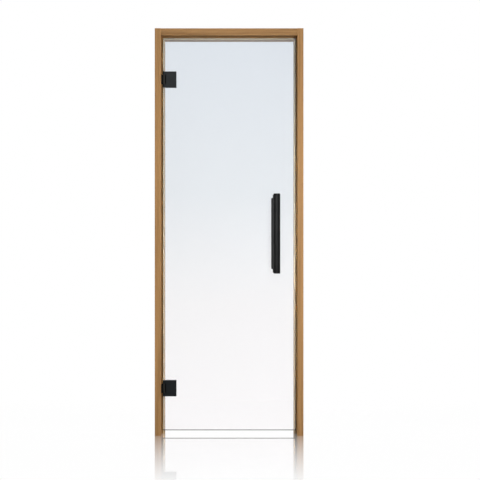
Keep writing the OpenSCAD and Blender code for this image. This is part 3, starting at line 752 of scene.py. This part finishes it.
class SAUNADOOR_OT_seals(bpy.types.Operator):
    """Models the three hollow seals along the stops, in place of their plain solids"""

    bl_idname = "sauna_door.seals"
    bl_label = "Seals"

    def execute(self, context):
        look = context.scene.sauna_door_rubber
        silicone = soft_rubber("Pale silicone", tuple(look.seal_colour), 0.6)
        heights = {}
        for node in ("hinge_side_seal", "latch_side_seal"):
            low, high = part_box(node)
            stop_y = high.y - TONGUE_LENGTH
            heights[node] = stop_y - low.y
            seal = modelled_seal(f"{node}_profile", heights[node], high.x - low.x, high.z - low.z,
                                 look.bead_wall)
            place(seal, ((low.x + high.x) / 2, stop_y, low.z))
            settle(seal, silicone, FRAME_BODY, "seal", node)
        low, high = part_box("head_seal")
        pane_corner_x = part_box("glass_pane")[0].x
        pin_low, pin_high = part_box("upper_hinge_pin")
        swing_clear_x = pin_low.x + pin_high.x - pane_corner_x
        seal = modelled_seal("head_seal_profile", heights["latch_side_seal"], high.z - low.z,
                             high.x - low.x, look.bead_wall)
        pare_end(seal, swing_clear_x - low.x, heights["hinge_side_seal"] / heights["latch_side_seal"])
        place(seal, (low.x, high.y - TONGUE_LENGTH, (low.z + high.z) / 2), math.pi / 2)
        settle(seal, silicone, FRAME_BODY, "seal", "head_seal")
        return {"FINISHED"}


class SAUNADOOR_OT_glass(bpy.types.Operator):
    """Gives the pane its satin glass"""

    bl_idname = "sauna_door.glass"
    bl_label = "Glass"

    def execute(self, context):
        dress("glass_pane", satin_glass("Satin glass", context.scene.sauna_door_glass))
        return {"FINISHED"}


class SAUNADOOR_OT_gaskets(bpy.types.Operator):
    """Models the rubber gaskets between the glass and the clamps and rails"""

    bl_idname = "sauna_door.gaskets"
    bl_label = "Gaskets"

    def execute(self, context):
        look = context.scene.sauna_door_rubber
        rubber = soft_rubber("Black gasket", tuple(look.gasket_colour), 0.7)
        thickness = look.gasket_thickness
        for name in HINGE_NAMES:
            screw_low, screw_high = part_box(f"{name}_clamp_screws")
            x = (screw_low.x + screw_high.x) / 2
            head_radius = (screw_high.x - screw_low.x) / 2
            screw_zs = (screw_low.z + head_radius, screw_high.z - head_radius)
            low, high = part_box(f"{name}_outer_gasket")
            front = Vector((high.x, low.y + thickness, high.z))
            parts = [modelled_pad("pad", low, front, 1.5 * MM, [(x, z, 6.05 * MM) for z in screw_zs])]
            for z in screw_zs:
                parts.append(modelled_tube("collar", x, z, 7 * MM, 6.05 * MM, front.y, high.y))
            settle(joined(f"{name}_outer_gasket_pad", parts), rubber, LEAF_BODY, "gasket",
                   f"{name}_outer_gasket")
            low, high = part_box(f"{name}_inner_gasket")
            pad = modelled_pad(f"{name}_inner_gasket_pad", low, high, 1.5 * MM,
                               [(x, z, 6.05 * MM) for z in screw_zs])
            settle(pad, rubber, LEAF_BODY, "gasket", f"{name}_inner_gasket")
        low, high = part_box("rail_gaskets")
        stud_low, stud_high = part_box("handle_studs")
        x = (stud_low.x + stud_high.x) / 2
        stud_radius = (stud_high.x - stud_low.x) / 2
        holes = [(x, z, stud_radius + 0.05 * MM) for z in (stud_low.z + stud_radius, stud_high.z - stud_radius)]
        parts = [modelled_pad("pad", Vector((low.x, y, low.z)), Vector((high.x, y + thickness, high.z)),
                              3.3 * MM, holes) for y in (low.y, high.y - thickness)]
        settle(joined("rail_gasket_pads", parts), rubber, LEAF_BODY, "gasket", "rail_gaskets")
        return {"FINISHED"}


class SAUNADOOR_OT_hinges(bpy.types.Operator):
    """Gives the hinges their black coat and steel"""

    bl_idname = "sauna_door.hinges"
    bl_label = "Hinges"

    def execute(self, context):
        look = context.scene.sauna_door_metal
        steel = bare_steel("Dark pin steel", linear(120, 120, 122), 0.35)
        painted_shade_boxes, neck_shade_boxes = [], []
        face_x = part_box("hinge_side_seal")[0].x - SEAL_TO_FACE
        for name in HINGE_NAMES:
            low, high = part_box(f"{name}_frame_leaf")
            front_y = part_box(f"{name}_outer_plate")[0].y
            # Painted shade in the groove beside the knuckle, between the plate and the frame leaf
            painted_shade_boxes.append(((high.x, front_y + MM, low.z - MM), (high.x + KNUCKLE_GAP, 0, high.z + MM)))
            # Painted shade on the frame leaf's neck, in the gap by the jamb
            neck_shade_boxes.append(((face_x + MM / 10, low.y, low.z), (high.x - KNUCKLE_WIDTH, high.y, high.z)))
        # The leaf coat carries a painted highlight in its lighter colour and painted shade on its necks
        leaf_coat = black_coat("Black leaf coat", tuple(look.leaf_colour_with_highlight), look.roughness, look.hinge_shine,
                               neck_shade_boxes)
        coat = black_coat("Black hinge coat", tuple(look.hinge_colour), look.roughness, look.hinge_shine,
                          painted_shade_boxes)
        for name in HINGE_NAMES:
            for part in ("outer_plate", "inner_plate"):
                dress(f"{name}_{part}", coat)
            dress(f"{name}_frame_leaf", leaf_coat)
            dress(f"{name}_hinge_pin", steel)
            dress(f"{name}_clamp_screws", coat)
        return {"FINISHED"}


class SAUNADOOR_OT_handles(bpy.types.Operator):
    """Gives the handles their black coat, studs and sleeves"""

    bl_idname = "sauna_door.handles"
    bl_label = "Handles"

    def execute(self, context):
        look = context.scene.sauna_door_metal
        coat = black_coat("Black bar coat", tuple(look.bar_colour), look.roughness - 0.06, look.bar_shine)
        rail = black_coat("Rail coat", tuple(look.rail_colour), look.roughness + 0.05, look.rail_shine)
        for side in SIDE_NAMES:
            for part in ("upper_post", "lower_post", "grip_bar", "bar_caps"):
                dress(f"{side}_{part}", coat)
            dress(f"{side}_rail", rail)
        dress("handle_studs", bare_steel("Stud steel", linear(190, 190, 192), 0.3))
        dress("stud_sleeves", soft_rubber("Nylon sleeve", linear(222, 222, 218), 0.5))
        return {"FINISHED"}


class SAUNADOOR_OT_screws(bpy.types.Operator):
    """Models the screws of the frame's corners and of the frame leaves"""

    bl_idname = "sauna_door.screws"
    bl_label = "Wood Screws"

    def execute(self, context):
        quarter = math.pi / 2
        black = black_coat("Black screw coat", linear(30, 30, 31), 0.4, 0.3)
        pattern = modelled_screw("screw_pattern", 4 * MM, 2 * MM, 22 * MM)
        for name in HINGE_NAMES:
            low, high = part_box(f"{name}_leaf_screws")
            row_zs = (low.z + 4 * MM, (low.z + high.z) / 2, high.z - 4 * MM)
            ys = (high.y - 4 * MM, low.y + 4 * MM, high.y - 4 * MM)
            placings = [((high.x, y, z), quarter) for y, z in zip(ys, row_zs)]
            piece = repeated(pattern, f"{name}_leaf_screw_set", placings)
            settle(piece, black, FRAME_BODY, "black_screws", f"{name}_leaf_screws")
        bpy.data.objects.remove(pattern)
        plated = bare_steel("Plated screws", linear(205, 190, 150), 0.32)
        pattern = modelled_screw("screw_pattern", 5 * MM, 2.5 * MM, 80 * MM)
        low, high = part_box("corner_screws")
        z = (low.z + high.z) / 2
        placings = [((x, y, z), turn) for x, turn in ((low.x, -quarter), (high.x, quarter))
                    for y in (low.y + 5 * MM, high.y - 5 * MM)]
        piece = repeated(pattern, "corner_screw_set", placings)
        settle(piece, plated, FRAME_BODY, "plated_screws", "corner_screws")
        bpy.data.objects.remove(pattern)
        return {"FINISHED"}


def aimed_lamp(name, place, target, width, height, power, spread=180, gloss_only=False):
    """A rectangular soft box that faces its target and that the camera doesn't see.

    A spread under 180 degrees is a grid in front of it, which keeps the light near its axis.
    It lights matt surfaces only, or with gloss_only just leaves its highlight on satin coats."""
    data = bpy.data.lights.new(name, "AREA")
    data.shape = "RECTANGLE"
    data.size, data.size_y = width, height
    data.energy = power
    data.spread = math.radians(spread)
    lamp = bpy.data.objects.new(name, data)
    bpy.context.scene.collection.objects.link(lamp)
    lamp.location = place
    lamp.rotation_euler = (Vector(target) - Vector(place)).to_track_quat("-Z", "Y").to_euler()
    lamp.visible_camera = False
    lamp.visible_transmission = False
    lamp.visible_glossy = gloss_only
    lamp.visible_diffuse = not gloss_only
    return lamp


def seen_directly(tree):
    """1 for rays that show the surface to the camera, straight on, mirrored or through glass.

    Light that a matt surface gathers through the glass isn't among them."""
    rays = add_node(tree, "LightPath").outputs
    mirrored = maths(tree, "MAXIMUM", rays["Is Camera Ray"], rays["Is Glossy Ray"])
    shown = maths(tree, "MAXIMUM", mirrored, rays["Is Transmission Ray"])
    return maths(tree, "MULTIPLY", shown, maths(tree, "LESS_THAN", rays["Diffuse Depth"], 0.5))


def light_the_world(strength):
    """Even light from all round, and plain white where the camera looks past the object."""
    world = bpy.data.worlds.new("Studio")
    bpy.context.scene.world = world
    world.use_nodes = True
    tree = world.node_tree
    tree.nodes.clear()
    shown = seen_directly(tree)
    level = maths(tree, "ADD", maths(tree, "MULTIPLY", shown, 1.0 - strength), strength)
    background = add_node(tree, "Background", Color=(1, 1, 1, 1), Strength=level)
    output = add_node(tree, "OutputWorld")
    tree.links.new(background.outputs["Background"], output.inputs["Surface"])


def pale_floor_material(studio):
    """White floor as pale as the backdrop, with a soft shade and a mirror image near the door."""
    material = new_material("Pale floor")
    tree = material.node_tree
    axes = add_node(tree, "SeparateXYZ", Vector=object_coordinates(tree))
    away = maths(tree, "SUBTRACT", maths(tree, "ABSOLUTE", axes.outputs["Y"]), -FRAME_FRONT_Y)
    near = maths(tree, "SUBTRACT", 1.0, maths(tree, "DIVIDE", away, studio.polish_reach))
    near = maths(tree, "MINIMUM", maths(tree, "MAXIMUM", near, 0.0), 1.0)
    shade = maths(tree, "MULTIPLY", near, studio.floor_show)
    diffuse = add_node(tree, "BsdfDiffuse", Color=(0.5, 0.5, 0.5, 1))
    white = add_node(tree, "Emission", Color=(1, 1, 1, 1),
                     Strength=maths(tree, "ADD", 1.0, maths(tree, "MULTIPLY", shade, 0.5)))
    hidden = maths(tree, "MULTIPLY", seen_directly(tree), maths(tree, "SUBTRACT", 1.0, shade))
    pale = add_node(tree, "MixShader", Fac=hidden)
    tree.links.new(diffuse.outputs["BSDF"], pale.inputs[1])
    tree.links.new(white.outputs["Emission"], pale.inputs[2])
    mirror = add_node(tree, "BsdfGlossy", Color=(1, 1, 1, 1), Roughness=0.04)
    camera_ray = add_node(tree, "LightPath").outputs["Is Camera Ray"]
    polish = maths(tree, "MULTIPLY", camera_ray, maths(tree, "MULTIPLY", near, studio.floor_polish))
    both = add_node(tree, "MixShader", Fac=polish)
    tree.links.new(pale.outputs["Shader"], both.inputs[1])
    tree.links.new(mirror.outputs["BSDF"], both.inputs[2])
    return finish_material(material, both.outputs["Shader"])


class SAUNADOOR_OT_stage(bpy.types.Operator):
    """Adds the floor, the lamps and the camera"""

    bl_idname = "sauna_door.stage"
    bl_label = "Studio"

    def execute(self, context):
        studio = context.scene.sauna_door_studio
        middle_x = DOOR_WIDTH / 2
        bpy.ops.object.select_all(action="DESELECT")
        bpy.ops.mesh.primitive_plane_add(size=40, location=(middle_x, 0, 0))
        floor = context.object
        floor.name = "studio_floor"
        floor.data.materials.append(pale_floor_material(studio))
        light_the_world(studio.sky_strength)
        for side, way, share in (("right", 1, studio.right_share), ("left", -1, 1 - studio.right_share)):
            aimed_lamp(f"High {side}", (middle_x + way * 1.55, -3.6, 2.0), (middle_x, 0, 1.2), 0.4, 0.8,
                       studio.high_power * share, spread=80)
            aimed_lamp(f"Low {side}", (middle_x + way * 1.58, -3.7, 0.65), (middle_x, 0, 1.05), 0.4, 0.9,
                       studio.low_power * share, spread=60)
            aimed_lamp(f"Side {side}", (middle_x + way * 3.4, 0.1, 1.7), (middle_x, 0.1, 0.95), 0.3, 1.2,
                       studio.side_power / 2, spread=80)
        aimed_lamp("Top", (middle_x, 0, 3.7), (middle_x, 0, 1.8), 0.8, 0.2, studio.top_power, spread=80)
        aimed_lamp("Back", (middle_x, 8.0, 3.0), (middle_x, 0, 0.95), 1.2, 1.8, studio.back_power, spread=40)
        aimed_lamp("Lift", (middle_x, -2.4, 0.35), (middle_x, 0, 1.88), 0.5, 0.3, studio.lift_power,
                   spread=22)
        aimed_lamp("Sheen", (middle_x + 0.1, -3.5, 3.15), (middle_x, 0, 1.2), 0.5, 0.8, studio.sheen_power,
                   spread=80, gloss_only=True)
        low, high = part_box("outer_grip_bar")
        aimed_lamp("Bar sheen", (high.x - 0.75, -3.5, 3.05), (low + high) / 2, 0.25, 0.6,
                   studio.bar_sheen_power, spread=14, gloss_only=True)
        data = bpy.data.cameras.new("Camera")
        data.sensor_width = 36
        data.lens = data.sensor_width * studio.camera_distance / studio.view_width
        camera = bpy.data.objects.new("Camera", data)
        context.scene.collection.objects.link(camera)
        camera.location = (middle_x + studio.camera_offset,
                           FRAME_FRONT_Y - studio.camera_distance, studio.camera_height)
        camera.rotation_euler = (math.pi / 2, 0, 0)
        context.scene.camera = camera
        context.scene.view_settings.view_transform = "Standard"
        return {"FINISHED"}


STEPS = (
    SAUNADOOR_OT_stage,
    SAUNADOOR_OT_wood_frame,
    SAUNADOOR_OT_seals,
    SAUNADOOR_OT_glass,
    SAUNADOOR_OT_gaskets,
    SAUNADOOR_OT_hinges,
    SAUNADOOR_OT_handles,
    SAUNADOOR_OT_screws,
)


class SAUNADOOR_PT_sidebar(bpy.types.Panel):
    """Lists the settings and the steps"""

    bl_idname = "SAUNADOOR_PT_sidebar"
    bl_label = "Sauna Door"
    bl_space_type = "VIEW_3D"
    bl_region_type = "UI"
    bl_category = "Sauna Door"

    def draw(self, context):
        for name, group in LOOKS.items():
            box = self.layout.box()
            box.label(text=group.__doc__)
            for setting in group.__annotations__:
                box.prop(getattr(context.scene, name), setting)
        for step in STEPS:
            self.layout.operator(step.bl_idname)


def register():
    """Registers the settings, the operators and the panel."""
    for name, group in LOOKS.items():
        bpy.utils.register_class(group)
        setattr(bpy.types.Scene, name, bpy.props.PointerProperty(type=group))
    for step in STEPS:
        bpy.utils.register_class(step)
    bpy.utils.register_class(SAUNADOOR_PT_sidebar)


def unregister():
    """Takes back what register added."""
    bpy.utils.unregister_class(SAUNADOOR_PT_sidebar)
    for step in reversed(STEPS):
        bpy.utils.unregister_class(step)
    for name, group in reversed(LOOKS.items()):
        delattr(bpy.types.Scene, name)
        bpy.utils.unregister_class(group)


def main():
    """Builds the looks."""
    register()
    bpy.ops.sauna_door.stage()
    bpy.ops.sauna_door.wood_frame()
    bpy.ops.sauna_door.seals()
    bpy.ops.sauna_door.glass()
    bpy.ops.sauna_door.gaskets()
    bpy.ops.sauna_door.hinges()
    bpy.ops.sauna_door.handles()
    bpy.ops.sauna_door.screws()


if __name__ == "__main__":
    main()
